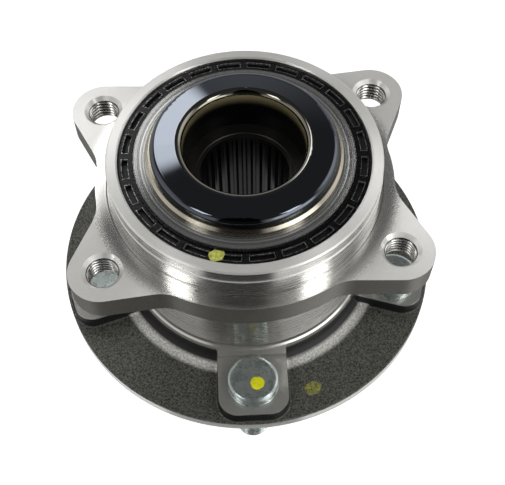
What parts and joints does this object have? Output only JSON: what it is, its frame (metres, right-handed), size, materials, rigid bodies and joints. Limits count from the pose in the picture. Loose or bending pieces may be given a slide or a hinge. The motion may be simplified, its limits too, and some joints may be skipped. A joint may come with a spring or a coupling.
{
  "type": "wheel hub bearing",
  "caption": "Driven wheel hub bearing unit: flanged, splined hub with pressed-in wheel studs, turning in a lugged outer ring on angular contact ball rows.",
  "frame": {"origin": "on the spin axis, in the face of the hub flange that the brake disc and wheel clamp against", "axes": "+Z along the spin axis towards the car (inboard); X along the longer side of the rectangle of lug holes"},
  "size_m": [0.138, 0.138, 0.1038],
  "materials": {
    "outer_ring_steel": "turned and milled faces, as-forged grey on the plate's edge",
    "hub_steel": "as-forged flange web, turned neck ring and pads, mirror-smooth dark formed lip",
    "bearing_steel": "ground",
    "ball_steel": "polished",
    "cage_polyamide": "moulded glass-filled polyamide",
    "slinger_steel": "bright pressed stainless sheet",
    "tone_ring_black": "black coated pressed sheet",
    "seal_case_steel": "bright pressed sheet",
    "seal_rubber": "moulded nitrile rubber",
    "zinc_plated_steel": "bright zinc plated"
  },
  "bodies": {
    "outer_ring": {"outer_ring": "outer_ring_steel", "inboard_seal_case": "seal_case_steel", "inboard_seal_lip": "seal_rubber", "outboard_seal_case": "seal_case_steel", "outboard_seal_lip": "seal_rubber"},
    "hub": {"hub": "hub_steel", "inner_ring": "bearing_steel", "slinger": "slinger_steel", "tone_ring": "tone_ring_black", "wheel_stud_1": "zinc_plated_steel", "wheel_stud_2": "zinc_plated_steel", "wheel_stud_3": "zinc_plated_steel", "wheel_stud_4": "zinc_plated_steel", "wheel_stud_5": "zinc_plated_steel"},
    "inboard_row": {"inboard_cage": "cage_polyamide", "inboard_ball_1": "ball_steel", "inboard_ball_2": "ball_steel", "inboard_ball_3": "ball_steel", "inboard_ball_4": "ball_steel", "inboard_ball_5": "ball_steel", "inboard_ball_6": "ball_steel", "inboard_ball_7": "ball_steel", "inboard_ball_8": "ball_steel", "inboard_ball_9": "ball_steel", "inboard_ball_10": "ball_steel", "inboard_ball_11": "ball_steel", "inboard_ball_12": "ball_steel", "inboard_ball_13": "ball_steel"},
    "outboard_row": {"outboard_cage": "cage_polyamide", "outboard_ball_1": "ball_steel", "outboard_ball_2": "ball_steel", "outboard_ball_3": "ball_steel", "outboard_ball_4": "ball_steel", "outboard_ball_5": "ball_steel", "outboard_ball_6": "ball_steel", "outboard_ball_7": "ball_steel", "outboard_ball_8": "ball_steel", "outboard_ball_9": "ball_steel", "outboard_ball_10": "ball_steel", "outboard_ball_11": "ball_steel", "outboard_ball_12": "ball_steel", "outboard_ball_13": "ball_steel"}
  },
  "joints": [
    {"name": "hub_spin", "type": "hinge", "parent": "outer_ring", "child": "hub", "pos_m": [0, 0, 0], "axis": [0, 0, 1], "continuous": true},
    {"name": "inboard_row_spin", "type": "hinge", "parent": "outer_ring", "child": "inboard_row", "pos_m": [0, 0, 0.0525], "axis": [0, 0, 1], "continuous": true},
    {"name": "outboard_row_spin", "type": "hinge", "parent": "outer_ring", "child": "outboard_row", "pos_m": [0, 0, 0.028], "axis": [0, 0, 1], "continuous": true}
  ],
  "couplings": [
    {"joint": "inboard_row_spin", "follows": "hub_spin", "ratio": 0.4394},
    {"joint": "outboard_row_spin", "follows": "hub_spin", "ratio": 0.4394}
  ]
}
